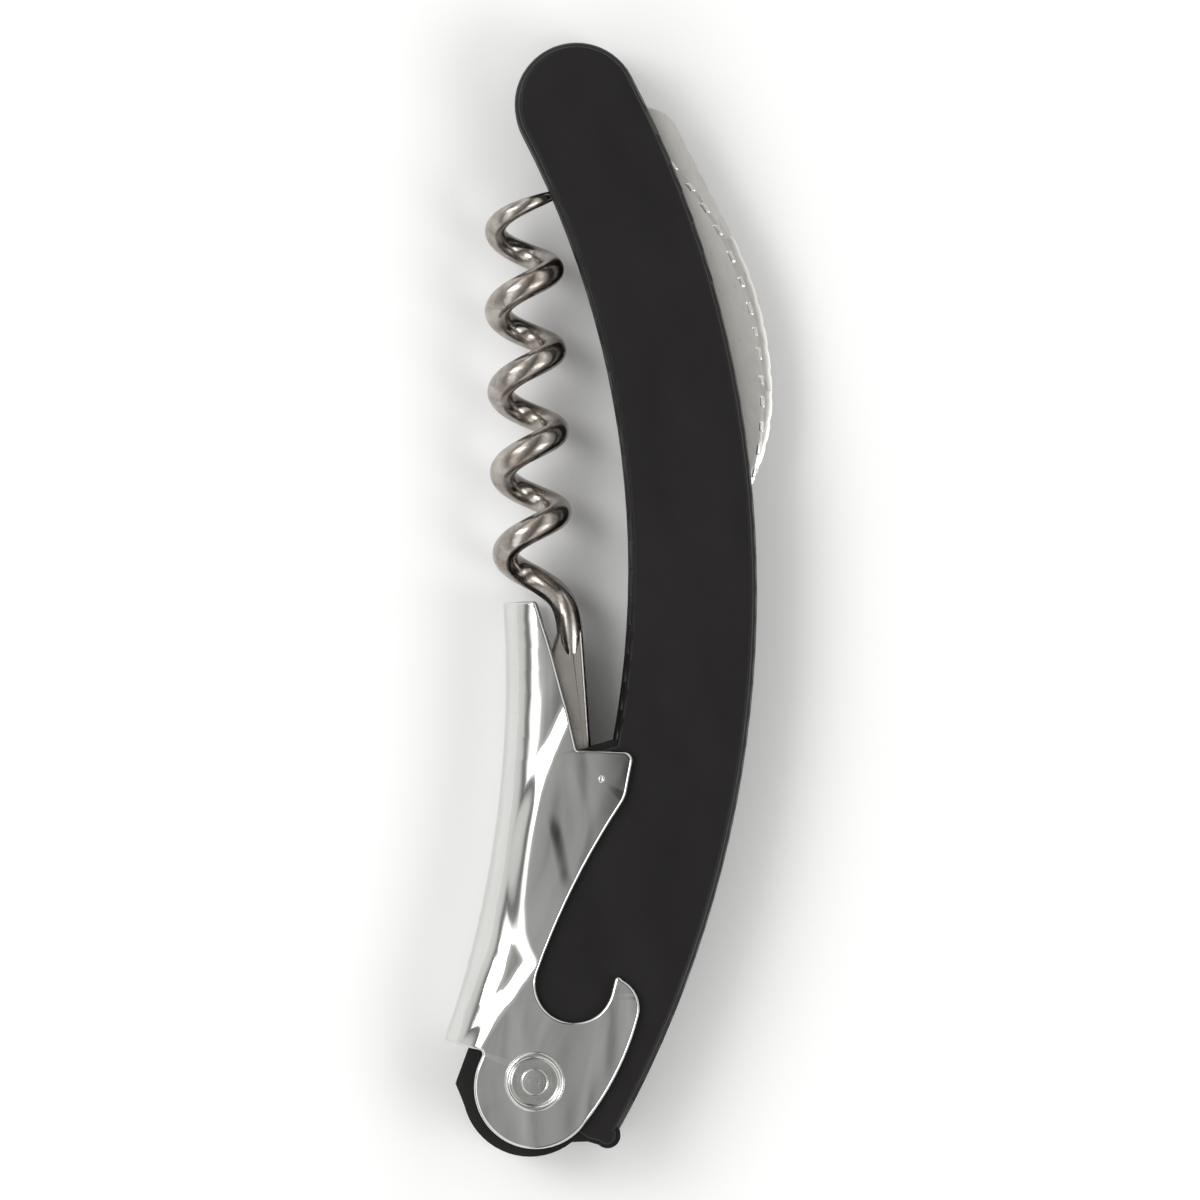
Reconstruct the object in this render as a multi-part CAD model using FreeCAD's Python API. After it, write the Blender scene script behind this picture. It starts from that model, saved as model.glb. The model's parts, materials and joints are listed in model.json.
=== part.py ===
import FreeCAD, Part
import math
import os

# Waiter's friend corkscrew, closed and lying on its side, in millimetres.
# The outlines are drawn in the XY plane about the lever rivet's axis, with Z across the handle.
# Each finished piece is then moved so that the origin is the middle of the footprint, at Z = 0.

# ---- driving dimensions -------------------------------------------------------------------
CAP_CENTRE = (4.49, 105.08)        # round top of the handle
CAP_RADIUS = 6.67
BACK_CENTRE = (-96.7, 52.65)       # arc of the handle's convex back
BACK_RADIUS = math.dist(BACK_CENTRE, CAP_CENTRE) + CAP_RADIUS
FRONT_CENTRE = (-91.8, 55.0)       # arc of the handle's hollow front
FRONT_RADIUS = math.dist(FRONT_CENTRE, CAP_CENTRE) - CAP_RADIUS
SHEET = 0.8                        # frame sheet
FRAME_HALF = 4.0                   # frame, half its width across
CHANNEL_HALF = FRAME_HALF - SHEET
SHOULDER_Y = 36.6                  # front corner where the handle widens for the worm pin
SHOULDER_INNER = (0.2, 34.25)
EAR_CENTRE = (-0.52, -0.91)        # round ear at the foot
EAR_RADIUS = 7.27
HEEL_CENTRE = (7.3, -5.7)          # small rounded corner at the foot of the back
HEEL_RADIUS = 1.26
HEEL_TOP_Y = -5.3
HEEL_LOW_BEARING = -110
HEEL_FOOT = (5.7, -6.55)           # dip between the heel and the ear
EAR_BEARINGS = (-51.5, 194)        # where the ear starts and ends, from its centre
LUG_LOW_Y = -0.3                   # small lug in front of the lever rivet
LUG_CORNER = (-8.2, -1.1)
LOBE_TOP_Y = 32.2                  # the front edge behind the lever ends here
LOBE_CORNER = (-0.75, 33.6)
CAP_OPEN_BEARING = 186             # the cap's rim ends here, where the open front begins
KNIFE_SLOT_HALF = 1.0
KNIFE_SLOT_START_X = 6.4
KNIFE_SLOT_END_Y = 60.8

SCALE_OUTER = 5.0                  # outer face of each cover scale
SCALE_INSET = 0.45                 # scale edge inside the frame's back edge
SCALE_EDGE_ROUND = 0.4
SCALE_BITE_RADIUS = 5.6            # scale cut away round the lever rivet
SCALE_BITE_BEARINGS = (-55, 128)
SCALE_BEHIND_LEVER = 3.0           # from the lever's inner face to the scale's hidden front edge
SCALE_FRONT_Y = (8.5, 32.5)        # where that hidden edge starts and ends
SCALE_FOOT = (5.7, -6.1)
SCALE_SHOULDER_SHIFT = (1.1, -0.15)
PEG_RADIUS = 1.2
PEGS = ((13.0, 88.0), (16.6, 52.0))
FIT = 0.05                         # running clearance on a radius

WEB_CENTRE = (-121.71, 43.37)      # the lever's back is an arc about this point
WEB_RADIUS = 118.56
LEVER_SHEET = 0.9
LEVER_INNER_HALF = 5.25
LEVER_HALF = LEVER_INNER_HALF + LEVER_SHEET
LEVER_BEND = 4.45                  # outer radius of the lever's two folds
WEB_GAP = 1.85                     # between the frame's front edge and the lever's back
DISC_CENTRE = (0.08, -0.63)
DISC_RADIUS = 6.62
NOTCH_CENTRE = (4.24, 10.47)       # bottle-opener notch
NOTCH_RADIUS = 4.1
CHEEK_CENTRE = (78.0, -15.76)      # hollow front edge of the cheek, running into the notch
CHEEK_RADIUS = math.dist(CHEEK_CENTRE, NOTCH_CENTRE) + NOTCH_RADIUS
HOOK_CENTRE = (-19.34, 15.05)      # outer edge of the opener hook, running into the disc
HOOK_RADIUS = math.dist(HOOK_CENTRE, DISC_CENTRE) + DISC_RADIUS
NOSE_CENTRE = (7.9, 7.9)           # rounded outer corner of the hook
NOSE_RADIUS = HOOK_RADIUS - math.dist(HOOK_CENTRE, NOSE_CENTRE)
LEVER_TIP = (0.12, 51.6)
TIP_BACK_Y = 51.45
TIP_EDGE_MIDDLE = (1.84, 46.1)     # the edge from the tip bows through this point
STEP_CORNER = (4.54, 35.55)        # inner corner of the step that sits on a bottle's rim
LIP_CORNER = (10.75, 35.42)
LIP_FOOT = (9.6, 30.6)
NOTCH_END_BEARING = -14            # the notch runs straight from here to the hook's tip
HOOK_TIP_LENGTH = 2.25
HOOK_TOP_BEARING = 62
DISC_END_BEARING = 157             # the disc ends here, in a short relief cut to the web
RELIEF_LENGTH = 1.37
WEB_END_Y = 4.33
CUT_EDGE_ROUND = 0.36
DIMPLE = (7.13, 32.51)
DIMPLE_BALL = 0.55
DIMPLE_RISE = 0.37                 # the ball's centre above the cheek's face

RIVET_RADIUS = 2.3
RIVET_BORE = 1.5
RIVET_HEAD_RADIUS = 3.25
RIVET_HEAD_HEIGHT = 0.8
WASHER_RADIUS = 4.9
SPACER_TUBE_RADIUS = 3.3

WORM_PIVOT = (3.0, 28.5)
WORM_PIN_RADIUS = 1.4
WORM_SPACER_RADIUS = 2.6
EYE_RADIUS = 3.55
SHANK_HALF = 0.9
SHANK_RIGHT = (5.12, 49.0)         # top corners of the flattened shank
SHANK_TOP_LEFT = (2.6, 48.8)
SHANK_LEFT = (1.65, 45.8)
WIRE_RADIUS = 1.4
COIL_RADIUS = 2.95                 # from the screw's axis to the middle of the wire
COIL_PITCH = 8.73
COIL_TURNS = 4.47
COIL_FOOT = (-0.24, 56.8)          # screw axis at the first turn
COIL_LEAN = math.radians(1.8)      # the screw leans a little away from the handle
COIL_SLANT = 0.11                  # each turn is wound a little askew to the axis
RUN_OUT_TURNS = 0.5                # last part of the coil, where the wire turns down the shank
RUN_OUT_DROP = 3.4
RUN_OUT_SPREAD = 0.72
TIP_TURNS = 0.47                   # first part of the coil, which opens out to the point
TIP_SPREAD = 0.95
TIP_DROP = 0.4
TAPER_TURNS = 0.85
WIRE_OFFSET = 0.013                # off the plate's mid-plane, so that their surfaces cross cleanly
POINT_RADIUS = 0.12
WIRE_SIDES = 12                    # points round the wire that its skin passes through
WIRE_PATCH_SPANS = 8               # stations along each patch of the skin
STOP_PIN = (0.0, 24.2)
STOP_PIN_RADIUS = 0.7

KNIFE_PIVOT = (11.45, 100.3)
KNIFE_PIN_RADIUS = 1.0
KNIFE_SPACER_RADIUS = 1.5
TANG_RADIUS = 4.65
TANG_HALF = 0.5
BLADE_HALF = 0.4
BELLY_CENTRE = (-13.67, 73.22)     # long curve of the cutting edge
BELLY_RADIUS = 39.3
POINT_CENTRE = (3.72, 73.76)       # tighter curve towards the blade's point
POINT_CURVE = 21.91
BELLY_ANGLES = (27.0, 1.6)         # where each curve starts and ends, from its own centre
POINT_ANGLES = (1.4, -35.0)
BLADE_END = (20.45, 61.0)          # blunt end beyond the point
BLADE_END_MIDDLE = (21.15, 60.75)
SPINE_MIDDLE = (15.6, 76.0)        # the back of the blade, kept inside the handle
SPINE_TOP = (8.9, 90.5)
CHOIL = (7.15, 94.6)
PLUNGE = (16.0, 98.15)             # step between the tang and the thinner blade
PLUNGE_SLOPE = -3
BEVEL_WIDTH = 0.95
BEVEL_DEPTH = 0.27
SERRATIONS = 15
SERRATION_START = 3.2              # along the edge from the tang's end
SERRATION_PITCH = 2.6
SCALLOP_RADIUS = 1.6
SCALLOP_DEPTH = 0.1

# Middle of the footprint, from the lever's lowest corner to the knife's widest point,
# and from the foot of the ear to the top of the cap.
MIDDLE_X = 7.96
MIDDLE_Y = 51.83
HEAD_GAP = 0.05
MIDDLE_Z = LEVER_HALF + HEAD_GAP + RIVET_HEAD_HEIGHT


# ---- drawing helpers ----------------------------------------------------------------------
def vec(point, z=0.0):
    return FreeCAD.Vector(point[0], point[1], z)


def polar(centre, radius, degrees):
    angle = math.radians(degrees)
    return (centre[0] + radius * math.cos(angle), centre[1] + radius * math.sin(angle))


def bearing(centre, point):
    return math.degrees(math.atan2(point[1] - centre[1], point[0] - centre[0]))


def right_of(centre, radius, y):
    """The point at height y on the right half of a circle."""
    return (centre[0] + math.sqrt(radius ** 2 - (y - centre[1]) ** 2), y)


def tangent_bearing(centre, radius, point, side):
    """Bearing at which a line from point touches a circle, on the side given by +1 or -1."""
    spread = math.degrees(math.acos(radius / math.dist(centre, point)))
    return bearing(centre, point) + side * spread


class Outline:
    """A closed flat outline, drawn edge after edge from its first point."""

    def __init__(self, point):
        self.first = point
        self.here = point
        self.edges = []

    def line(self, point):
        self.edges.append(Part.LineSegment(vec(self.here), vec(point)).toShape())
        self.here = point
        return self

    def arc(self, centre, point, turn):
        """An arc about centre to point; turn is +1 for anticlockwise, -1 for clockwise."""
        start = bearing(centre, self.here)
        sweep = (turn * (bearing(centre, point) - start)) % 360.0
        radius = math.dist(centre, self.here)
        middle = polar(centre, radius, start + turn * sweep / 2)
        self.edges.append(Part.Arc(vec(self.here), vec(middle), vec(point)).toShape())
        self.here = point
        return self

    def curve(self, through, point):
        self.edges.append(Part.Arc(vec(self.here), vec(through), vec(point)).toShape())
        self.here = point
        return self

    def prism(self, low, high):
        if math.dist(self.here, self.first) > 1e-6:
            self.line(self.first)
        face = Part.Face(Part.Wire(Part.__sortEdges__(self.edges)))
        face.translate(FreeCAD.Vector(0, 0, low))
        return face.extrude(FreeCAD.Vector(0, 0, high - low))


def disc(centre, radius, low, high):
    return Part.makeCylinder(radius, high - low, vec(centre, low))


def ring(centre, outer, inner, low, high):
    return disc(centre, outer, low, high).cut(disc(centre, inner, low - 1, high + 1))


def box(low, high):
    size = [high[i] - low[i] for i in range(3)]
    return Part.makeBox(size[0], size[1], size[2], FreeCAD.Vector(*low))


def upright_edges(shape, corner):
    """The edges along Z that stand at the given corner."""
    found = []
    for edge in shape.Edges:
        ends = [(v.X, v.Y) for v in edge.Vertexes]
        if len(ends) == 2 and math.dist(ends[0], ends[1]) < 1e-4 and math.dist(ends[0], corner) < 0.05:
            found.append(edge)
    return found


def edges_at(shape, z, keep):
    """The edges lying in the plane at height z whose middle point passes the keep test."""
    found = []
    for edge in shape.Edges:
        if all(abs(v.Z - z) < 1e-4 for v in edge.Vertexes):
            middle = edge.valueAt((edge.FirstParameter + edge.LastParameter) / 2)
            if abs(middle.z - z) < 1e-4 and keep(middle):
                found.append(edge)
    return found


def rounded(shape, radius, edges):
    """The shape with those edges filleted, or as it was if they can't be."""
    if not edges:
        return shape
    try:
        result = shape.makeFillet(radius, edges)
        if result.isValid() and result.Solids:
            return result.Solids[0]
    except Part.OCCError:
        pass
    print("fillet left out:", radius, len(edges))
    return shape


# ---- handle -------------------------------------------------------------------------------
def cap_ends(inset):
    """Where the cap meets the front and back arcs, for an outline drawn inside the handle's."""
    radius = CAP_RADIUS - inset
    front = polar(CAP_CENTRE, radius, bearing(CAP_CENTRE, FRONT_CENTRE))
    back = polar(CAP_CENTRE, radius, bearing(BACK_CENTRE, CAP_CENTRE))
    return front, back


def frame_side():
    """Side view of the frame: cap, back, heel, ear, lug and the lobe that holds the worm pin."""
    front, back = cap_ends(0.0)
    lug_radius = WEB_RADIUS + LEVER_SHEET + WEB_GAP
    shoulder = right_of(FRONT_CENTRE, FRONT_RADIUS, SHOULDER_Y)
    heel_back = right_of(BACK_CENTRE, BACK_RADIUS, HEEL_TOP_Y)
    heel_low = polar(HEEL_CENTRE, HEEL_RADIUS, HEEL_LOW_BEARING)
    ear_right = polar(EAR_CENTRE, EAR_RADIUS, EAR_BEARINGS[0])
    ear_left = polar(EAR_CENTRE, EAR_RADIUS, EAR_BEARINGS[1])
    lug_low = right_of(WEB_CENTRE, lug_radius, LUG_LOW_Y)
    lobe_top = right_of(WEB_CENTRE, lug_radius, LOBE_TOP_Y)
    outline = Outline(front)
    outline.arc(CAP_CENTRE, back, -1)
    outline.arc(BACK_CENTRE, heel_back, -1)
    outline.arc(HEEL_CENTRE, heel_low, -1)
    outline.line(HEEL_FOOT)
    outline.line(ear_right)
    outline.arc(EAR_CENTRE, ear_left, -1)
    outline.curve(LUG_CORNER, lug_low)
    outline.arc(WEB_CENTRE, lobe_top, 1)
    outline.curve(LOBE_CORNER, SHOULDER_INNER)
    outline.line(shoulder)
    outline.arc(FRONT_CENTRE, front, 1)
    return outline


def channel_hollow():
    """The space between the frame's plates: open at the front and the foot."""
    radius = CAP_RADIUS - SHEET
    start = polar(CAP_CENTRE, radius, CAP_OPEN_BEARING)
    back = polar(CAP_CENTRE, radius, bearing(BACK_CENTRE, CAP_CENTRE))
    foot = right_of(BACK_CENTRE, BACK_RADIUS - SHEET, HEEL_TOP_Y + 0.1)
    outline = Outline(start)
    outline.arc(CAP_CENTRE, back, -1)
    outline.arc(BACK_CENTRE, foot, -1)
    outline.line((foot[0], -20))
    outline.line((-30, -20))
    outline.line((-30, start[1]))
    return outline


def handle_frame():
    """Folded sheet channel, with the knife's slot in its back and holes for every pin."""
    body = frame_side().prism(-FRAME_HALF, FRAME_HALF)
    for z in (-FRAME_HALF, FRAME_HALF):
        def on_back(point):
            at_back = abs(math.dist((point.x, point.y), BACK_CENTRE) - BACK_RADIUS) < 0.01
            at_cap = abs(math.dist((point.x, point.y), CAP_CENTRE) - CAP_RADIUS) < 0.01
            return at_back or at_cap
        body = rounded(body, SHEET - 0.1, edges_at(body, z, on_back))
    body = body.cut(channel_hollow().prism(-CHANNEL_HALF, CHANNEL_HALF))
    slot = box((KNIFE_SLOT_START_X, KNIFE_SLOT_END_Y, -KNIFE_SLOT_HALF), (40, 120, KNIFE_SLOT_HALF))
    body = body.cut(slot)
    holes = [((0.0, 0.0), RIVET_RADIUS), (WORM_PIVOT, WORM_PIN_RADIUS),
             (STOP_PIN, STOP_PIN_RADIUS), (KNIFE_PIVOT, KNIFE_PIN_RADIUS)]
    holes += [(peg, PEG_RADIUS) for peg in PEGS]
    for centre, radius in holes:
        body = body.cut(disc(centre, radius, -10, 10))
    return body


def handle_scale():
    """Front cover: follows the frame's side a little inside its edges, with two pegs behind."""
    front, back = cap_ends(SCALE_INSET)
    back_radius = BACK_RADIUS - SCALE_INSET
    hidden_radius = WEB_RADIUS + LEVER_SHEET + SCALE_BEHIND_LEVER
    heel_radius = HEEL_RADIUS - SCALE_INSET
    pivot = (0.0, 0.0)
    shoulder = right_of(FRONT_CENTRE, FRONT_RADIUS + SCALE_INSET, SHOULDER_Y - SCALE_INSET)
    inner_top = [SHOULDER_INNER[k] + SCALE_SHOULDER_SHIFT[k] for k in (0, 1)]
    outline = Outline(front)
    outline.arc(CAP_CENTRE, back, -1)
    outline.arc(BACK_CENTRE, right_of(BACK_CENTRE, back_radius, HEEL_TOP_Y), -1)
    outline.arc(HEEL_CENTRE, polar(HEEL_CENTRE, heel_radius, HEEL_LOW_BEARING), -1)
    outline.line(SCALE_FOOT)
    outline.line(polar(pivot, SCALE_BITE_RADIUS, SCALE_BITE_BEARINGS[0]))
    outline.arc(pivot, polar(pivot, SCALE_BITE_RADIUS, SCALE_BITE_BEARINGS[1]), 1)
    outline.line(right_of(WEB_CENTRE, hidden_radius, SCALE_FRONT_Y[0]))
    outline.arc(WEB_CENTRE, right_of(WEB_CENTRE, hidden_radius, SCALE_FRONT_Y[1]), 1)
    outline.line(inner_top)
    outline.line(shoulder)
    outline.arc(FRONT_CENTRE, front, 1)
    plate = outline.prism(FRAME_HALF, SCALE_OUTER)
    plate = rounded(plate, SCALE_EDGE_ROUND, edges_at(plate, SCALE_OUTER, lambda point: True))
    for peg in PEGS:
        plate = plate.fuse(disc(peg, PEG_RADIUS, CHANNEL_HALF + 0.1, FRAME_HALF + 0.3))
    return plate.removeSplitter()


# ---- lever --------------------------------------------------------------------------------
def tangent_from(centre, radius, degrees, turn, length):
    """A point length along the tangent that leaves a circle at the given bearing."""
    start = polar(centre, radius, degrees)
    return polar(start, length, degrees + turn * 90)


def lever_side():
    """Side view of the lever: tip, step, lip, cheek, opener notch, hook, disc and web end."""
    tip_back = right_of(WEB_CENTRE, WEB_RADIUS, TIP_BACK_Y)
    web_end = right_of(WEB_CENTRE, WEB_RADIUS, WEB_END_Y)
    lip_foot = polar(CHEEK_CENTRE, CHEEK_RADIUS, bearing(CHEEK_CENTRE, LIP_FOOT))
    notch_left = polar(NOTCH_CENTRE, NOTCH_RADIUS, bearing(CHEEK_CENTRE, NOTCH_CENTRE))
    notch_right = polar(NOTCH_CENTRE, NOTCH_RADIUS, NOTCH_END_BEARING)
    hook_tip = tangent_from(NOTCH_CENTRE, NOTCH_RADIUS, NOTCH_END_BEARING, 1, HOOK_TIP_LENGTH)
    hook_top = polar(NOSE_CENTRE, NOSE_RADIUS, HOOK_TOP_BEARING)
    hook_bearing = bearing(HOOK_CENTRE, NOSE_CENTRE)
    hook_outer = polar(HOOK_CENTRE, HOOK_RADIUS, hook_bearing)
    disc_right = polar(HOOK_CENTRE, HOOK_RADIUS, bearing(HOOK_CENTRE, DISC_CENTRE))
    disc_left = polar(DISC_CENTRE, DISC_RADIUS, DISC_END_BEARING)
    relief = tangent_from(DISC_CENTRE, DISC_RADIUS, DISC_END_BEARING, -1, RELIEF_LENGTH)
    outline = Outline(tip_back)
    outline.line(LEVER_TIP)
    outline.curve(TIP_EDGE_MIDDLE, STEP_CORNER)
    outline.line(LIP_CORNER)
    outline.line(lip_foot)
    outline.arc(CHEEK_CENTRE, notch_left, 1)
    outline.arc(NOTCH_CENTRE, notch_right, 1)
    outline.line(hook_tip)
    outline.line(hook_top)
    outline.arc(NOSE_CENTRE, hook_outer, -1)
    outline.arc(HOOK_CENTRE, disc_right, -1)
    outline.arc(DISC_CENTRE, disc_left, -1)
    outline.line(relief)
    outline.line(web_end)
    outline.arc(WEB_CENTRE, tip_back, 1)
    body = outline.prism(-10, 10)
    for corner, radius in ((LEVER_TIP, 0.5), (STEP_CORNER, 0.4), (LIP_CORNER, 0.9),
                           (lip_foot, 4.0), (hook_tip, 0.4), (relief, 0.4)):
        body = rounded(body, radius, upright_edges(body, corner))
    return body


def channel_section(back, half, bend, depth):
    """Cross-section of a channel turned about the web's centre: a rounded back, straight sides."""
    far = back + depth
    corner = bend * (1 - math.sqrt(0.5))
    points = [(far, -half), (back + bend, -half), (back + corner, -half + corner),
              (back, -half + bend), (back, half - bend), (back + corner, half - corner),
              (back + bend, half), (far, half)]
    p = [FreeCAD.Vector(r, 0, z) for r, z in points]
    edges = [Part.LineSegment(p[0], p[1]).toShape(),
             Part.Arc(p[1], p[2], p[3]).toShape(),
             Part.LineSegment(p[3], p[4]).toShape(),
             Part.Arc(p[4], p[5], p[6]).toShape(),
             Part.LineSegment(p[6], p[7]).toShape(),
             Part.LineSegment(p[7], p[0]).toShape()]
    return Part.Face(Part.Wire(edges))


def lever():
    """Folded sheet channel, turned about the web's centre and trimmed to the side view."""
    outer = channel_section(WEB_RADIUS, LEVER_HALF, LEVER_BEND, 40)
    inner = channel_section(WEB_RADIUS + LEVER_SHEET, LEVER_INNER_HALF,
                            LEVER_BEND - LEVER_SHEET, 41)
    section = outer.cut(inner)
    section.rotate(FreeCAD.Vector(0, 0, 0), FreeCAD.Vector(0, 0, 1), -40)
    channel = section.revolve(FreeCAD.Vector(0, 0, 0), FreeCAD.Vector(0, 0, 1), 80)
    channel.translate(vec(WEB_CENTRE))
    body = channel.common(lever_side()).Solids[0]

    def on_cut_edge(point):
        return abs(math.dist((point.x, point.y), WEB_CENTRE) - WEB_RADIUS - LEVER_BEND) > 0.01

    edges = edges_at(body, -LEVER_HALF, on_cut_edge) + edges_at(body, LEVER_HALF, on_cut_edge)
    body = rounded(body, CUT_EDGE_ROUND, edges)
    body = body.cut(disc((0.0, 0.0), RIVET_RADIUS + FIT, -10, 10))
    for side in (-1, 1):
        ball = Part.makeSphere(DIMPLE_BALL, vec(DIMPLE, side * (LEVER_HALF + DIMPLE_RISE)))
        body = body.cut(ball)
    return body


# ---- lever rivet --------------------------------------------------------------------------
def lever_rivet_sleeve():
    """Front half of the rivet: a tube with a wide head that has a raised rim."""
    under = LEVER_HALF + HEAD_GAP
    top = under + RIVET_HEAD_HEIGHT
    floor = under + 0.25
    rim = 0.36
    points = [(RIVET_BORE, -CHANNEL_HALF), (RIVET_RADIUS, -CHANNEL_HALF), (RIVET_RADIUS, under),
              (RIVET_HEAD_RADIUS, under), (RIVET_HEAD_RADIUS, top - rim)]
    section = [FreeCAD.Vector(r, 0, z) for r, z in points]
    rim_end = FreeCAD.Vector(RIVET_HEAD_RADIUS - 2 * rim, 0, top - rim)
    rim_top = FreeCAD.Vector(RIVET_HEAD_RADIUS - rim, 0, top)
    tail = [rim_end, FreeCAD.Vector(rim_end.x - 0.1, 0, floor), FreeCAD.Vector(RIVET_BORE, 0, floor),
            section[0]]
    edges = [Part.LineSegment(section[i], section[i + 1]).toShape() for i in range(4)]
    edges.append(Part.Arc(section[4], rim_top, rim_end).toShape())
    edges += [Part.LineSegment(tail[i], tail[i + 1]).toShape() for i in range(3)]
    face = Part.Face(Part.Wire(edges))
    return face.revolve(FreeCAD.Vector(0, 0, 0), FreeCAD.Vector(0, 0, 1), 360)


def lever_rivet_pin():
    """Back half of the rivet: a pin driven into the sleeve, its rounded end showing in front."""
    under = LEVER_HALF + HEAD_GAP
    head = disc((0.0, 0.0), RIVET_HEAD_RADIUS, -under - RIVET_HEAD_HEIGHT, -under)
    head = rounded(head, 0.5, edges_at(head, -under - RIVET_HEAD_HEIGHT, lambda point: True))
    end = under + 0.6
    stem = disc((0.0, 0.0), RIVET_BORE, -under, end)
    stem = rounded(stem, 0.25, edges_at(stem, end, lambda point: True))
    collar = disc((0.0, 0.0), RIVET_RADIUS, -under, -CHANNEL_HALF)
    return head.fuse(stem).fuse(collar).removeSplitter()


def lever_spacer_tube():
    return ring((0.0, 0.0), SPACER_TUBE_RADIUS, RIVET_RADIUS, -CHANNEL_HALF, CHANNEL_HALF)


def lever_washer():
    return ring((0.0, 0.0), WASHER_RADIUS, RIVET_RADIUS, FRAME_HALF, LEVER_INNER_HALF - 0.03)


# ---- worm ---------------------------------------------------------------------------------
def coil_point(turns):
    """Middle of the wire, counted in turns up the screw from its first left-hand point."""
    angle = 2 * math.pi * turns
    radius = COIL_RADIUS
    rise = COIL_PITCH * turns
    flatten = 1.0
    if turns < 0:
        part = -turns / RUN_OUT_TURNS
        radius += RUN_OUT_SPREAD * part ** 1.5
        rise -= RUN_OUT_DROP * part ** 4
        flatten -= part ** 3
    if turns > COIL_TURNS - TIP_TURNS:
        part = (turns - COIL_TURNS + TIP_TURNS) / TIP_TURNS
        radius += TIP_SPREAD * part ** 2
        rise -= TIP_DROP * part
    across = -radius * math.cos(angle)
    towards = radius * math.sin(angle) * flatten
    rise += COIL_SLANT * towards
    x = COIL_FOOT[0] + across * math.cos(COIL_LEAN) - rise * math.sin(COIL_LEAN)
    y = COIL_FOOT[1] + across * math.sin(COIL_LEAN) + rise * math.cos(COIL_LEAN)
    return FreeCAD.Vector(x, y, towards)


def shank_path():
    """Stations down the straight shank, ending inside its flat plate, each with its radius."""
    start = coil_point(-RUN_OUT_TURNS)
    steps = ((0.12, -1.4, 1.36), (0.2, -2.8, 1.1), (0.26, -4.2, 0.7))
    return [(FreeCAD.Vector(start.x + x, start.y + y, 0), radius) for x, y, radius in steps]


def wire_stations():
    """Middle points and radii along the wire, from inside the plate up to the sharp point."""
    stations = list(reversed(shank_path()))
    steps_per_turn = 16
    steps = round((RUN_OUT_TURNS + COIL_TURNS) * steps_per_turn)
    for step in range(steps + 1):
        turns = -RUN_OUT_TURNS + (RUN_OUT_TURNS + COIL_TURNS) * step / steps
        left = (COIL_TURNS - turns) / TAPER_TURNS
        radius = WIRE_RADIUS
        if left < 1:
            radius = POINT_RADIUS + (WIRE_RADIUS - POINT_RADIUS) * left ** 0.42
        stations.append((coil_point(turns), radius))
    return stations


def wire_ring(point, along, radius):
    """Points round the wire, starting on the screw's outer side so that the skin can't twist."""
    foot = vec(COIL_FOOT)
    axis = FreeCAD.Vector(-math.sin(COIL_LEAN), math.cos(COIL_LEAN), 0)
    outward = point - foot - axis * (point - foot).dot(axis)
    outward = (outward - along * outward.dot(along)).normalize()
    sideways = along.cross(outward)
    angles = [2 * math.pi * k / WIRE_SIDES for k in range(WIRE_SIDES)]
    rim = [point + (outward * math.cos(a) - sideways * math.sin(a)) * radius for a in angles]
    return rim + [rim[0]]


def worm_wire():
    """The round wire: one smooth skin through rings set square to the wire's path."""
    stations = wire_stations()
    rings = []
    for i, (point, radius) in enumerate(stations):
        before = stations[max(i - 1, 0)][0]
        after = stations[min(i + 1, len(stations) - 1)][0]
        rings.append(wire_ring(point, (after - before).normalize(), radius))
    surface = Part.BSplineSurface()
    surface.interpolate(rings)
    start, end, seam, seam_end = surface.bounds()
    around = (seam, (seam + seam_end) / 2, seam_end)
    stops = surface.getUKnots()[::WIRE_PATCH_SPANS]
    if stops[-1] < end:
        stops.append(end)
    faces = []
    for i in range(len(stops) - 1):
        for j in range(2):
            patch = surface.copy()
            patch.segment(stops[i], stops[i + 1], around[j], around[j + 1])
            faces.append(patch.toShape())
    for u in (start, end):
        faces.append(Part.makeFilledFace([surface.uIso(u).toShape()]))
    shell = Part.Shell(faces)
    shell.sewShape()
    return Part.Solid(Part.Shell(shell.Faces))


def worm_plate():
    """Flattened shank with a round eye at its foot."""
    right_foot = polar(WORM_PIVOT, EYE_RADIUS, tangent_bearing(WORM_PIVOT, EYE_RADIUS, SHANK_RIGHT, -1))
    left_foot = polar(WORM_PIVOT, EYE_RADIUS, tangent_bearing(WORM_PIVOT, EYE_RADIUS, SHANK_LEFT, 1))
    outline = Outline(right_foot)
    outline.line(SHANK_RIGHT)
    outline.line(SHANK_TOP_LEFT)
    outline.line(SHANK_LEFT)
    outline.line(left_foot)
    outline.arc(WORM_PIVOT, right_foot, 1)
    plate = outline.prism(-SHANK_HALF, SHANK_HALF)
    for corner, radius in ((SHANK_RIGHT, 0.9), (SHANK_TOP_LEFT, 0.8), (SHANK_LEFT, 2.0)):
        plate = rounded(plate, radius, upright_edges(plate, corner))
    for z in (-SHANK_HALF, SHANK_HALF):
        plate = rounded(plate, 0.42, edges_at(plate, z, lambda point: True))
    return plate


def worm():
    wire = worm_wire()
    wire.translate(FreeCAD.Vector(0, 0, WIRE_OFFSET))
    body = worm_plate().fuse(wire)
    body = body.cut(disc(WORM_PIVOT, WORM_PIN_RADIUS + FIT, -5, 5))
    return body.removeSplitter()


def worm_pin():
    return disc(WORM_PIVOT, WORM_PIN_RADIUS, -FRAME_HALF, FRAME_HALF)


def worm_spacer():
    return ring(WORM_PIVOT, WORM_SPACER_RADIUS, WORM_PIN_RADIUS, SHANK_HALF + FIT, CHANNEL_HALF)


def worm_stop_pin():
    return disc(STOP_PIN, STOP_PIN_RADIUS, -FRAME_HALF, FRAME_HALF)


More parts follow.
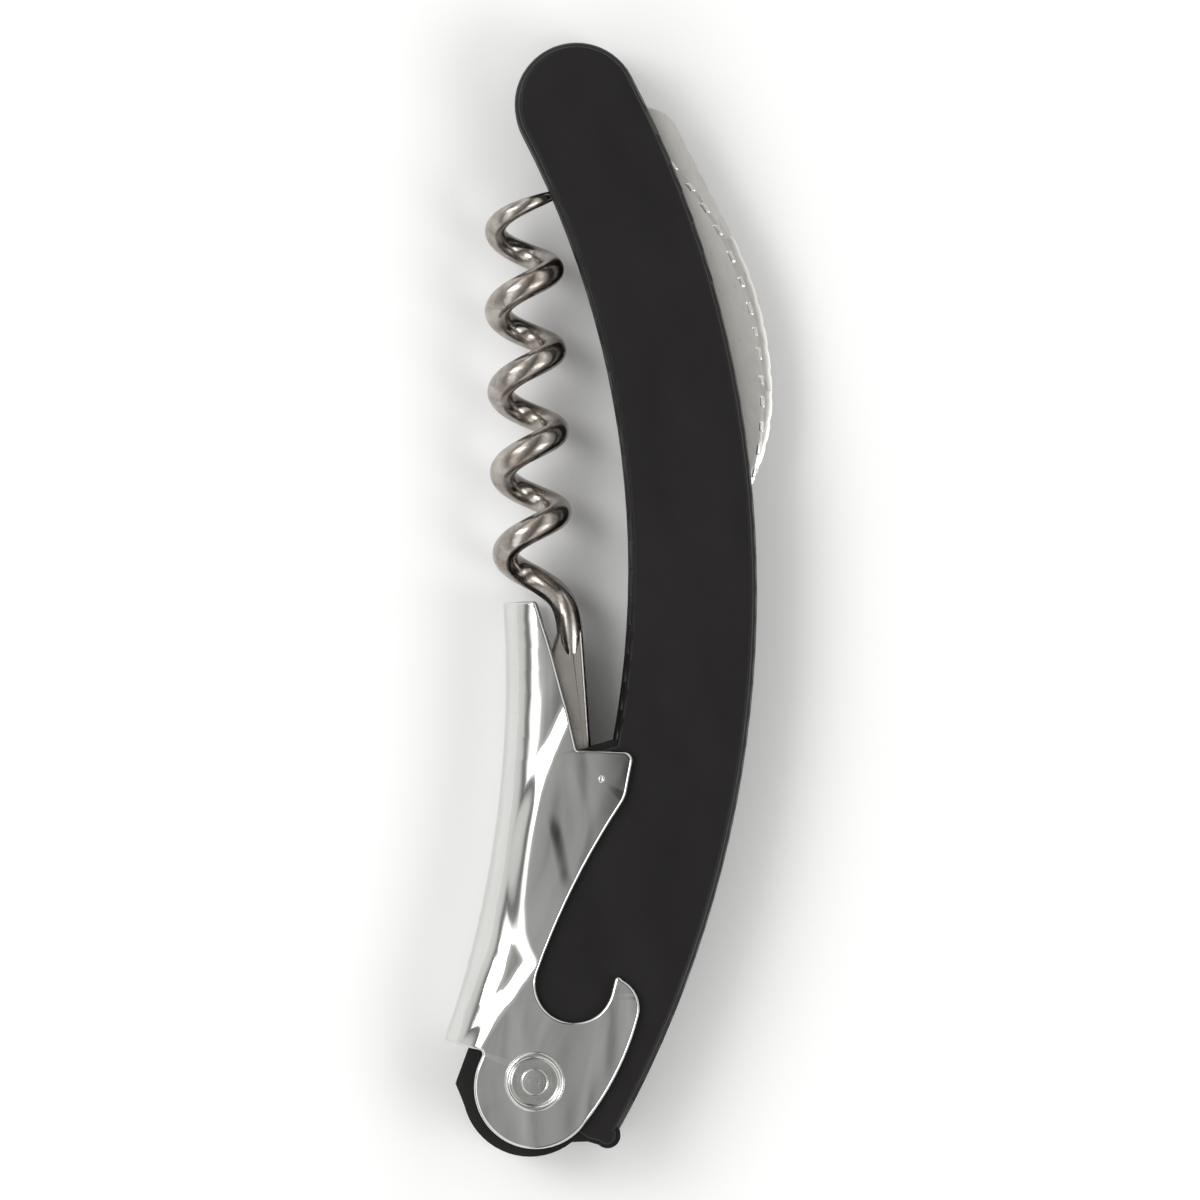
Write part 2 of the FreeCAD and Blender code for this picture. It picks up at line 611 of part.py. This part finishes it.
# ---- knife --------------------------------------------------------------------------------
def knife_edge_points():
    """Where the cutting edge's straight and two curves meet, from the tang to the point."""
    top = polar(KNIFE_PIVOT, TANG_RADIUS, 40)
    straight_end = polar(BELLY_CENTRE, BELLY_RADIUS, BELLY_ANGLES[0])
    belly_end = polar(BELLY_CENTRE, BELLY_RADIUS, BELLY_ANGLES[1])
    point_start = polar(POINT_CENTRE, POINT_CURVE, POINT_ANGLES[0])
    tip = polar(POINT_CENTRE, POINT_CURVE, POINT_ANGLES[1])
    return top, straight_end, belly_end, point_start, tip


def knife_side():
    top, straight_end, belly_end, point_start, tip = knife_edge_points()
    outline = Outline(top)
    outline.line(straight_end)
    outline.arc(BELLY_CENTRE, belly_end, -1)
    outline.line(point_start)
    outline.arc(POINT_CENTRE, tip, -1)
    outline.curve(BLADE_END_MIDDLE, BLADE_END)
    outline.curve(SPINE_MIDDLE, SPINE_TOP)
    outline.curve(CHOIL, polar(KNIFE_PIVOT, TANG_RADIUS, 190))
    outline.arc(KNIFE_PIVOT, top, -1)
    return outline


def bevel_ring(centre, radius, start, end, side):
    """What grinding removes along one curve of the edge, on one side of the blade."""
    slope = BEVEL_DEPTH / BEVEL_WIDTH
    top = side * (BLADE_HALF + 0.01)
    low = side * (BLADE_HALF - BEVEL_DEPTH - slope)
    corners = [(radius - BEVEL_WIDTH, top), (radius + 1, top), (radius + 1, low)]
    points = [FreeCAD.Vector(r, 0, z) for r, z in corners + corners[:1]]
    face = Part.Face(Part.makePolygon(points))
    face.rotate(FreeCAD.Vector(0, 0, 0), FreeCAD.Vector(0, 0, 1), start)
    wedge = face.revolve(FreeCAD.Vector(0, 0, 0), FreeCAD.Vector(0, 0, 1), end - start)
    wedge.translate(vec(centre))
    return wedge


def serration_centres():
    """Centres of the small scallops, evenly spaced from the tang's end round to the point."""
    top, straight_end, belly_end, point_start, tip = knife_edge_points()
    reach = SCALLOP_RADIUS - SCALLOP_DEPTH
    centres = []
    straight = math.dist(top, straight_end)
    belly = BELLY_RADIUS * math.radians(BELLY_ANGLES[0] - BELLY_ANGLES[1])
    for i in range(SERRATIONS):
        run = SERRATION_START + i * SERRATION_PITCH
        if run < straight:
            share = run / straight
            on_line = [top[k] + (straight_end[k] - top[k]) * share for k in (0, 1)]
            centres.append(polar(on_line, reach, BELLY_ANGLES[0]))
        elif run < straight + belly:
            turn = math.degrees((run - straight) / BELLY_RADIUS)
            centres.append(polar(BELLY_CENTRE, BELLY_RADIUS + reach, BELLY_ANGLES[0] - turn))
        else:
            turn = math.degrees((run - straight - belly) / POINT_CURVE)
            centres.append(polar(POINT_CENTRE, POINT_CURVE + reach, POINT_ANGLES[0] - turn))
    return centres


def knife():
    """Foil blade: thick tang, thinner blade with a ground edge cut into small scallops."""
    body = knife_side().prism(-TANG_HALF, TANG_HALF)
    for side in (-1, 1):
        low = min(side * BLADE_HALF, side * (TANG_HALF + 1))
        relief = Part.makeBox(60, 60, TANG_HALF + 1 - BLADE_HALF, FreeCAD.Vector(-30, -60, low))
        relief.rotate(FreeCAD.Vector(0, 0, 0), FreeCAD.Vector(0, 0, 1), PLUNGE_SLOPE)
        relief.translate(vec(PLUNGE))
        body = body.cut(relief)
        body = body.cut(bevel_ring(BELLY_CENTRE, BELLY_RADIUS, *BELLY_ANGLES, side))
        body = body.cut(bevel_ring(POINT_CENTRE, POINT_CURVE, *POINT_ANGLES, side))
    for centre in serration_centres():
        body = body.cut(disc(centre, SCALLOP_RADIUS, -1, 1))
    return body.cut(disc(KNIFE_PIVOT, KNIFE_PIN_RADIUS + FIT, -5, 5))


def knife_pin():
    return disc(KNIFE_PIVOT, KNIFE_PIN_RADIUS, -FRAME_HALF, FRAME_HALF)


def knife_spacer():
    return ring(KNIFE_PIVOT, KNIFE_SPACER_RADIUS, KNIFE_PIN_RADIUS, TANG_HALF + FIT, CHANNEL_HALF)


# ---- assembly -----------------------------------------------------------------------------
def mirrored(shape):
    """The same piece on the far side of the handle."""
    return shape.mirror(FreeCAD.Vector(0, 0, 0), FreeCAD.Vector(0, 0, 1))


def all_pieces():
    pieces = {"handle_frame": handle_frame(), "lever": lever(), "worm": worm(), "knife": knife(),
              "lever_rivet_sleeve": lever_rivet_sleeve(), "lever_rivet_pin": lever_rivet_pin(),
              "lever_spacer_tube": lever_spacer_tube(), "worm_pin": worm_pin(),
              "worm_stop_pin": worm_stop_pin(), "knife_pin": knife_pin()}
    pairs = {"handle_scale": handle_scale(), "lever_washer": lever_washer(),
             "worm_spacer": worm_spacer(), "knife_spacer": knife_spacer()}
    for name, shape in pairs.items():
        pieces[name + "_front"] = shape
        pieces[name + "_back"] = mirrored(shape)
    return pieces


os.makedirs("parts", exist_ok=True)
for name, shape in all_pieces().items():
    shape.translate(FreeCAD.Vector(-MIDDLE_X, -MIDDLE_Y, MIDDLE_Z))
    shape.exportStep("parts/" + name + ".step")
    bounds = shape.BoundBox
    print(name, "valid" if shape.isValid() else "NOT VALID", len(shape.Solids), round(shape.Volume, 1),
          [round(v, 2) for v in (bounds.XMin, bounds.XMax, bounds.YMin, bounds.YMax, bounds.ZMin, bounds.ZMax)])
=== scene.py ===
import json
import math

import bpy
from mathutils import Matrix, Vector


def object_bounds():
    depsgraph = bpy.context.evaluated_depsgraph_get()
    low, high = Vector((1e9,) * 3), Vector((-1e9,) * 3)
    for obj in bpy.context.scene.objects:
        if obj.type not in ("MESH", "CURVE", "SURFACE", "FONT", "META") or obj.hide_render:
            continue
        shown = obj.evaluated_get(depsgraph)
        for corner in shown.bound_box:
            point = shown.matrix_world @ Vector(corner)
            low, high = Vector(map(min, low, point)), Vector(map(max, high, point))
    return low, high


# A waiter's friend corkscrew on a pale table, seen from straight above.
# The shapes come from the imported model. This script gives them their surfaces, light and view.

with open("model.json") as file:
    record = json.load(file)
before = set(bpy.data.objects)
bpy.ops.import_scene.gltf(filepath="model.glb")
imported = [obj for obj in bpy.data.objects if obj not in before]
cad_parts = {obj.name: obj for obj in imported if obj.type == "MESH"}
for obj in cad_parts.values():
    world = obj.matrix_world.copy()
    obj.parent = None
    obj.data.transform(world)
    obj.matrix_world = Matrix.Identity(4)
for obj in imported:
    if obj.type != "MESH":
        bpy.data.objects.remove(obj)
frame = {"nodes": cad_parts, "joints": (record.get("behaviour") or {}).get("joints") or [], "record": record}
cad_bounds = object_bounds()
nodes = frame["nodes"]

MM = 0.001
JOINT_PLACES = {joint["name"]: Vector(joint["pos_m"]) for joint in frame["joints"]}
LEVER_PIVOT = JOINT_PLACES["lever_swing"]
KNIFE_PIVOT = JOINT_PLACES["knife_swing"]

# Millimetres, across and along from the lever rivet.
BELLY_CENTRE = LEVER_PIVOT + Vector((-13.67, 73.22, 0)) * MM    # the blade's edge is an arc about it
BELLY_RADIUS = 39.3
SHOULDER_INSET = 1.1               # the ground edge starts this far inside the blade's edge
FLUTE_PITCH = 2.6                  # along the ground edge
BLADE_LEAN = 18.5                  # degrees that the blade leans from the handle's length
LEVER_LEAN = -12                   # degrees, for the polish lines
SHANK_END = 49.0                   # top of the worm's flattened shank

# The relief pressed into the lever's cheek, in the same millimetres.
FLANK_WAIST = (-1.9, 19.0)         # the flank is a parabola about this point
FLANK_BOW = 0.0125
FLARE_START = 17.0                 # it bends away more quickly below this height
FLARE_BOW = 0.06
COLLAR_ALONG = 13.5                # a slanting fold crosses the rivet's line here
COLLAR_SLANT = (0.817, -0.577)
FOLD_BLEND = 1.0                   # how softly the flank and the collar join
STEP_HALF = 1.1                    # half the width of the slope up to the raised part
STEP_HEIGHT = 0.44
CROWN_CREST = 3.5                  # the raised part is bowed about this line
CROWN_BOW = -0.006
CROWN_ZONE = (8.0, 17.0)           # the bow fades in over these heights
DENT = (2.8, 24.4)                 # shallow dent beside the step for the bottle's rim
DENT_SLANT = 0.19
DENT_HALF = 0.8
DENT_DEPTH = 0.10
DENT_REACH = (2.0, 5.0)            # it fades out between these distances along

WELD_REACH = 0.0005 * MM
EDGE_ANGLE = 24                    # degrees; sharper corners than this stay crisp
FLAT_FACE_WEIGHT = 100             # the largest faces alone decide the shading of a flat

TABLE_SIZE = 6.0
TABLE_DROP = 0.02 * MM             # below the object's lowest face
SKY_STRENGTH = 1.6
# The sky's brightness by lean in degrees: 0 is straight up, -90 the worm side, 90 the knife side.
SKY_BANDS = ((-180, 0.7), (-100, 0.63), (-72, 0.50), (-60, 0.14), (-52, 0.22), (-45, 1.0), (-25, 1.0),
             (-18, 0.42), (-8, 0.32), (1, 0.25), (6, 0.17), (12, 0.04), (19, 0.04), (26, 0.50),
             (46, 0.90), (62, 0.30), (78, 0.20), (95, 0.7), (180, 0.7))
SKY_BLUE_SHARE = 0.985             # a touch warm

FIELD = 0.1296                     # width of the view at the object's middle height
LENS = 300.0
SENSOR = 36.0
VIEW_SHIFT = (-0.94 * MM, -0.10 * MM)


# ---- small node-building kit ----------------------------------------------------------------
class Recipe:
    """One material, built from nodes; coordinates are in millimetres on the resting object."""

    def __init__(self, name):
        self.material = bpy.data.materials.new(name)
        self.material.use_nodes = True
        self.tree = self.material.node_tree
        self.shader = self.tree.nodes["Principled BSDF"]
        self.place = self.tree.nodes.new("ShaderNodeTexCoord").outputs["Object"]

    def link(self, source, target):
        self.tree.links.new(source, target)

    def set(self, **values):
        for name, value in values.items():
            self.shader.inputs[name.replace("_", " ")].default_value = value

    def mapped(self, scale=(1, 1, 1), turn=0.0, origin=(0, 0, 0)):
        """Millimetre coordinates about an origin, turned about Z and then stretched."""
        shift = self.tree.nodes.new("ShaderNodeVectorMath")
        shift.operation = "SUBTRACT"
        shift.inputs[1].default_value = origin
        self.link(self.place, shift.inputs[0])
        spin = self.tree.nodes.new("ShaderNodeVectorRotate")
        spin.rotation_type = "Z_AXIS"
        spin.inputs["Angle"].default_value = -math.radians(turn)
        self.link(shift.outputs[0], spin.inputs["Vector"])
        stretch = self.tree.nodes.new("ShaderNodeVectorMath")
        stretch.operation = "MULTIPLY"
        stretch.inputs[1].default_value = [s / MM for s in scale]
        self.link(spin.outputs[0], stretch.inputs[0])
        return stretch.outputs[0]

    def noise(self, vector, scale, detail=3.0, roughness=0.5, distortion=0.0):
        node = self.tree.nodes.new("ShaderNodeTexNoise")
        node.inputs["Scale"].default_value = scale
        node.inputs["Detail"].default_value = detail
        node.inputs["Roughness"].default_value = roughness
        node.inputs["Distortion"].default_value = distortion
        self.link(vector, node.inputs["Vector"])
        return node.outputs["Fac"]

    def math(self, operation, a, b=0.0, c=0.0):
        node = self.tree.nodes.new("ShaderNodeMath")
        node.operation = operation
        for socket, value in zip(node.inputs, (a, b, c)):
            if isinstance(value, (int, float)):
                socket.default_value = value
            else:
                self.link(value, socket)
        return node.outputs[0]

    def spread(self, value, low, high, to_low, to_high, smooth=False):
        node = self.tree.nodes.new("ShaderNodeMapRange")
        if smooth:
            node.interpolation_type = "SMOOTHSTEP"
        self.link(value, node.inputs["Value"])
        for name, number in zip(("From Min", "From Max", "To Min", "To Max"),
                                (low, high, to_low, to_high)):
            node.inputs[name].default_value = number
        return node.outputs["Result"]

    def colours(self, factor, first, second):
        node = self.tree.nodes.new("ShaderNodeMix")
        node.data_type = "RGBA"
        self.link(factor, node.inputs["Factor"])
        for socket, colour in ((node.inputs[6], first), (node.inputs[7], second)):
            if isinstance(colour, tuple):
                socket.default_value = (*colour, 1.0)
            else:
                self.link(colour, socket)
        return node.outputs[2]

    def bump(self, height, distance_mm, under=None):
        node = self.tree.nodes.new("ShaderNodeBump")
        node.inputs["Strength"].default_value = 1.0
        node.inputs["Distance"].default_value = distance_mm * MM
        self.link(height, node.inputs["Height"])
        if under is not None:
            self.link(under, node.inputs["Normal"])
        return node.outputs["Normal"]

    def from_axis(self, centre):
        """Distance in millimetres from an upright line through a point."""
        flat = self.mapped(scale=(1, 1, 0), origin=centre)
        node = self.tree.nodes.new("ShaderNodeVectorMath")
        node.operation = "LENGTH"
        self.link(flat, node.inputs[0])
        return node.outputs["Value"]


# ---- materials ------------------------------------------------------------------------------
def pressed_relief(r):
    """Height of the lever's pressed cheek in millimetres, across and along from the rivet."""
    axes = r.tree.nodes.new("ShaderNodeSeparateXYZ")
    r.link(r.mapped(origin=LEVER_PIVOT), axes.inputs[0])
    across, along = axes.outputs["X"], axes.outputs["Y"]
    from_waist = r.math("SUBTRACT", along, FLANK_WAIST[1])
    flank = r.math("MULTIPLY_ADD", r.math("MULTIPLY", from_waist, from_waist), FLANK_BOW, FLANK_WAIST[0])
    flare = r.math("MAXIMUM", r.math("SUBTRACT", FLARE_START, along), 0.0)
    flank = r.math("MULTIPLY_ADD", r.math("MULTIPLY", flare, flare), FLARE_BOW, flank)
    past_flank = r.math("SUBTRACT", across, flank)
    past_collar = r.math("MULTIPLY_ADD", r.math("SUBTRACT", along, COLLAR_ALONG), COLLAR_SLANT[1],
                         r.math("MULTIPLY", across, COLLAR_SLANT[0]))
    raised = r.math("SMOOTH_MAX", past_flank, past_collar, FOLD_BLEND)
    height = r.spread(raised, -STEP_HALF, STEP_HALF, 0.0, STEP_HEIGHT, smooth=True)
    upper = r.spread(along, *CROWN_ZONE, 0.0, 1.0, smooth=True)
    from_crest = r.math("SUBTRACT", across, CROWN_CREST)
    crown = r.math("MULTIPLY", r.math("MULTIPLY", from_crest, from_crest), CROWN_BOW)
    height = r.math("MULTIPLY_ADD", crown, upper, height)
    dent_line = r.math("MULTIPLY_ADD", r.math("SUBTRACT", along, DENT[1]), DENT_SLANT,
                       r.math("SUBTRACT", across, DENT[0]))
    dent = r.spread(dent_line, -DENT_HALF, DENT_HALF, 0.0, -DENT_DEPTH, smooth=True)
    from_dent = r.math("ABSOLUTE", r.math("SUBTRACT", along, DENT[1]))
    dent_share = r.spread(from_dent, *DENT_REACH, 1.0, 0.0, smooth=True)
    return r.math("MULTIPLY_ADD", dent, dent_share, height)


def bright_plate():
    """Mirror nickel plate on pressed sheet: slight waviness, fine polish lines, handling marks."""
    r = Recipe("bright_plate")
    r.set(Metallic=1.0)
    polish = r.noise(r.mapped((9.0, 0.35, 3.0), turn=LEVER_LEAN), 1.0, 4.0)
    smear = r.noise(r.mapped((0.35, 0.12, 0.3), turn=LEVER_LEAN), 1.0, 3.0)
    scratch = r.noise(r.mapped((0.5, 16.0, 1.0), turn=33), 1.0, 2.0, distortion=0.4)
    scratch = r.spread(scratch, 0.70, 0.80, 0.0, 1.0)
    r.link(r.colours(smear, (0.60, 0.595, 0.58), (0.72, 0.72, 0.71)), r.shader.inputs["Base Color"])
    rough = r.math("ADD", r.spread(smear, 0.3, 0.7, 0.05, 0.12), r.math("MULTIPLY", scratch, 0.10))
    r.link(rough, r.shader.inputs["Roughness"])
    waves = r.noise(r.mapped((0.20, 0.07, 0.20), turn=-8), 1.0, 1.5, 0.35, 0.6)
    normal = r.bump(pressed_relief(r), 1.0)
    normal = r.bump(waves, 0.30, under=normal)
    normal = r.bump(polish, 0.0012, under=normal)
    normal = r.bump(scratch, 0.0015, under=normal)
    r.link(normal, r.shader.inputs["Normal"])
    return r.material


def rivet_plate():
    """The same plate on the rivet's heads, a little rougher, with rings from the setting tool."""
    r = Recipe("rivet_plate")
    r.set(Metallic=1.0)
    rings = r.tree.nodes.new("ShaderNodeTexNoise")
    rings.noise_dimensions = "1D"
    rings.inputs["Detail"].default_value = 3.0
    r.link(r.math("MULTIPLY", r.from_axis(LEVER_PIVOT), 5.0), rings.inputs["W"])
    clouds = r.noise(r.mapped((0.7, 0.7, 0.7)), 1.0, 3.0)
    r.link(r.colours(clouds, (0.55, 0.545, 0.53), (0.70, 0.695, 0.68)), r.shader.inputs["Base Color"])
    r.link(r.spread(clouds, 0.3, 0.7, 0.08, 0.18), r.shader.inputs["Roughness"])
    r.link(r.bump(rings.outputs["Fac"], 0.008), r.shader.inputs["Normal"])
    return r.material


def black_enamel():
    """Stoved black enamel on the folded frame, with a fine orange-peel skin."""
    r = Recipe("black_enamel")
    mottle = r.noise(r.mapped((0.25, 0.12, 0.25)), 1.0, 3.0)
    black = r.colours(mottle, (0.006, 0.0053, 0.0053), (0.012, 0.0105, 0.0105))
    r.link(black, r.shader.inputs["Base Color"])
    fine = r.noise(r.mapped((2.2, 2.2, 2.2)), 1.0, 2.0)
    r.link(r.spread(mottle, 0.3, 0.7, 0.27, 0.40), r.shader.inputs["Roughness"])
    r.link(r.bump(fine, 0.012), r.shader.inputs["Normal"])
    r.set(Specular_IOR_Level=0.35)
    return r.material


def black_scale():
    """Smooth warm-black cover with a soft sheen, faint mottling and a very fine moulded grain."""
    r = Recipe("black_scale")
    mottle = r.noise(r.mapped((0.16, 0.07, 0.2), turn=15), 1.0, 4.0, 0.6)
    black = r.colours(mottle, (0.0068, 0.0056, 0.0058), (0.0115, 0.0098, 0.0100))
    r.link(black, r.shader.inputs["Base Color"])
    grain = r.noise(r.mapped((7.0, 7.0, 7.0)), 1.0, 3.0)
    rough = r.math("ADD", r.spread(mottle, 0.3, 0.7, 0.40, 0.52),
                   r.spread(grain, 0.3, 0.7, -0.03, 0.03))
    r.link(rough, r.shader.inputs["Roughness"])
    r.link(r.bump(grain, 0.006), r.shader.inputs["Normal"])
    r.set(Specular_IOR_Level=0.22)
    return r.material


def worm_steel():
    """Drawn wire: warm grey with brown tarnish clouds and fine draw marks; the flat shank is painted
    lighter, partly less tarnish and partly a painted highlight for its brighter reflection.
    """
    r = Recipe("worm_steel")
    r.set(Metallic=1.0)
    clouds = r.noise(r.mapped((0.55, 0.55, 0.55)), 1.0, 4.0, 0.6, 0.3)
    wire = r.colours(r.spread(clouds, 0.3, 0.7, 0.0, 1.0), (0.24, 0.205, 0.178), (0.50, 0.465, 0.43))
    # The shank's lighter colour is partly less tarnish and partly painted highlight, standing in for the
    # brighter reflection of its flat face.
    shank_painted_light = r.colours(clouds, (0.52, 0.485, 0.45), (0.66, 0.625, 0.58))
    axes = r.tree.nodes.new("ShaderNodeSeparateXYZ")
    r.link(r.mapped(origin=LEVER_PIVOT), axes.inputs[0])
    up_the_wire = r.spread(axes.outputs["Y"], SHANK_END - 1.0, SHANK_END + 2.0, 0.0, 1.0, smooth=True)
    r.link(r.colours(up_the_wire, shank_painted_light, wire), r.shader.inputs["Base Color"])
    fine = r.noise(r.mapped((3.2, 8.0, 3.2), turn=25), 1.0, 3.0)
    r.link(r.spread(clouds, 0.3, 0.7, 0.30, 0.17), r.shader.inputs["Roughness"])
    r.link(r.bump(fine, 0.006), r.shader.inputs["Normal"])
    return r.material


def blade_steel():
    """Satin blade, brushed along its length, with small flutes along the ground edge, bumped and painted
    brighter as glints.
    """
    r = Recipe("blade_steel")
    r.set(Metallic=1.0)
    along = r.mapped((14.0, 0.5, 2.0), turn=BLADE_LEAN, origin=KNIFE_PIVOT)
    brushed = r.noise(along, 1.0, 4.0, 0.6)
    clouds = r.noise(r.mapped((0.2, 0.1, 0.2), turn=BLADE_LEAN), 1.0, 3.0)
    past_shoulder = r.math("SUBTRACT", r.from_axis(BELLY_CENTRE), BELLY_RADIUS - SHOULDER_INSET)
    line = r.spread(r.math("ABSOLUTE", past_shoulder), 0.08, 0.26, 1.0, 0.0, smooth=True)
    axes = r.tree.nodes.new("ShaderNodeSeparateXYZ")
    r.link(r.mapped(origin=KNIFE_PIVOT), axes.inputs[0])
    wander = r.math("MULTIPLY", r.noise(r.mapped((0.12, 0.12, 0.12)), 1.0, 1.0), 9.0)
    turns = r.math("MULTIPLY_ADD", axes.outputs["Y"], 2 * math.pi / FLUTE_PITCH, wander)
    wave = r.math("SINE", turns)
    flute = r.spread(wave, 0.1, 0.7, 0.0, 1.0, smooth=True)
    flutes_and_glints = r.math("MULTIPLY", line, flute)
    body = r.colours(clouds, (0.76, 0.74, 0.70), (0.93, 0.91, 0.87))
    # The flutes get a painted highlight: a brighter colour standing in for the glints off the serration
    # scallops, besides their bump.
    r.link(r.colours(flutes_and_glints, body, (0.95, 0.95, 0.94)), r.shader.inputs["Base Color"])
    r.link(r.spread(brushed, 0.3, 0.7, 0.26, 0.38), r.shader.inputs["Roughness"])
    normal = r.bump(r.spread(past_shoulder, -0.1, 0.2, 0.0, -1.0), 0.03)
    normal = r.bump(flutes_and_glints, 0.10, under=normal)
    r.link(r.bump(brushed, 0.004, under=normal), r.shader.inputs["Normal"])
    return r.material


def plain_steel():
    """Turned steel for the hidden pins, tube and spacers, with fine rings from the tool."""
    r = Recipe("plain_steel")
    r.set(Metallic=1.0)
    rings = r.noise(r.mapped((0.8, 0.8, 18.0)), 1.0, 3.0)
    clouds = r.noise(r.mapped((0.6, 0.6, 0.6)), 1.0, 3.0)
    r.link(r.colours(clouds, (0.40, 0.39, 0.37), (0.56, 0.55, 0.53)), r.shader.inputs["Base Color"])
    r.link(r.spread(rings, 0.3, 0.7, 0.28, 0.42), r.shader.inputs["Roughness"])
    r.link(r.bump(rings, 0.005), r.shader.inputs["Normal"])
    return r.material


def black_nylon():
    """Dull black nylon for the lever's washers."""
    r = Recipe("black_nylon")
    grain = r.noise(r.mapped((4.0, 4.0, 4.0)), 1.0, 3.0)
    r.link(r.colours(grain, (0.012, 0.011, 0.011), (0.022, 0.02, 0.02)), r.shader.inputs["Base Color"])
    r.link(r.spread(grain, 0.3, 0.7, 0.5, 0.65), r.shader.inputs["Roughness"])
    r.link(r.bump(grain, 0.01), r.shader.inputs["Normal"])
    return r.material


MAKERS = {"bright_plate": bright_plate, "rivet_plate": rivet_plate,
          "black_enamel": black_enamel, "black_scale": black_scale,
          "worm_steel": worm_steel, "blade_steel": blade_steel,
          "plain_steel": plain_steel, "nylon": black_nylon}


def dress_nodes():
    """Every node gets its slot's material, a welded skin, crisp real edges and evenly shaded flats."""
    made = {slot: maker() for slot, maker in MAKERS.items()}
    slots = {part["node"]: part["material_slot"] for part in frame["record"]["subparts"]}
    slots.update(lever_rivet_sleeve="rivet_plate", lever_rivet_pin="rivet_plate")
    for name, node in nodes.items():
        node.data.materials.clear()
        node.data.materials.append(made[slots[name]])
        node.data.polygons.foreach_set("use_smooth", [True] * len(node.data.polygons))
        weld = node.modifiers.new("weld", "WELD")
        weld.merge_threshold = WELD_REACH
        split = node.modifiers.new("edges", "EDGE_SPLIT")
        split.split_angle = math.radians(EDGE_ANGLE)
        split.use_edge_sharp = False
        flat = node.modifiers.new("flats", "WEIGHTED_NORMAL")
        flat.weight = FLAT_FACE_WEIGHT


# ---- stage ----------------------------------------------------------------------------------
def table_top():
    """A wide pale table, in faintly uneven white."""
    bpy.ops.mesh.primitive_plane_add(size=TABLE_SIZE, location=(0, 0, -TABLE_DROP))
    table = bpy.context.object
    table.name = "table_top"
    r = Recipe("table_top")
    clouds = r.noise(r.mapped((0.01, 0.01, 0.01)), 1.0, 2.0)
    r.link(r.colours(clouds, (0.93, 0.93, 0.93), (0.95, 0.95, 0.95)), r.shader.inputs["Base Color"])
    r.set(Roughness=0.6)
    table.data.materials.append(r.material)


def studio_sky():
    """A soft studio all round: bright panels and darker gaps, in bands across the object."""
    world = bpy.data.worlds.new("studio")
    bpy.context.scene.world = world
    world.use_nodes = True
    tree = world.node_tree
    background = tree.nodes["Background"]
    place = tree.nodes.new("ShaderNodeTexCoord")
    parts = tree.nodes.new("ShaderNodeSeparateXYZ")
    tree.links.new(place.outputs["Generated"], parts.inputs[0])
    lean = tree.nodes.new("ShaderNodeMath")
    lean.operation = "ARCTAN2"
    tree.links.new(parts.outputs["X"], lean.inputs[0])
    tree.links.new(parts.outputs["Z"], lean.inputs[1])
    share = tree.nodes.new("ShaderNodeMapRange")
    share.inputs["From Min"].default_value = -math.pi
    share.inputs["From Max"].default_value = math.pi
    tree.links.new(lean.outputs[0], share.inputs["Value"])
    ramp = tree.nodes.new("ShaderNodeValToRGB")
    tree.links.new(share.outputs["Result"], ramp.inputs["Fac"])
    stops = ramp.color_ramp.elements
    stops[0].position, stops[1].position = 0.0, 1.0
    for degrees, level in SKY_BANDS:
        if degrees in (-180, 180):
            stop = stops[0] if degrees < 0 else stops[len(stops) - 1]
        else:
            stop = stops.new((degrees + 180) / 360)
        stop.color = (level, level, level * SKY_BLUE_SHARE, 1.0)
    tree.links.new(ramp.outputs["Color"], background.inputs["Color"])
    background.inputs["Strength"].default_value = SKY_STRENGTH


def softbox(name, place, size, power):
    """A rectangular soft light aimed at the middle of the object."""
    data = bpy.data.lights.new(name, "AREA")
    data.shape = "RECTANGLE"
    data.size, data.size_y = size
    data.energy = power
    light = bpy.data.objects.new(name, data)
    light.location = place
    light.rotation_euler = (-Vector(place)).to_track_quat("-Z", "Y").to_euler()
    bpy.context.scene.collection.objects.link(light)


def camera():
    """Straight down at the object's middle height, with a long lens."""
    middle = (cad_bounds[0].z + cad_bounds[1].z) / 2
    data = bpy.data.cameras.new("camera")
    data.sensor_width = SENSOR
    data.lens = LENS
    data.clip_start, data.clip_end = 0.05, 20.0
    view = bpy.data.objects.new("camera", data)
    view.location = (*VIEW_SHIFT, middle + FIELD * LENS / SENSOR)
    view.rotation_euler = (0, 0, 0)
    bpy.context.scene.collection.objects.link(view)
    bpy.context.scene.camera = view


dress_nodes()
table_top()
studio_sky()
softbox("key", place=(-0.55, 0.25, 0.75), size=(0.35, 0.6), power=2.5)
softbox("fill", place=(0.7, -0.3, 0.8), size=(0.5, 0.5), power=2.5)
camera()
bpy.context.scene.view_settings.view_transform = "Standard"
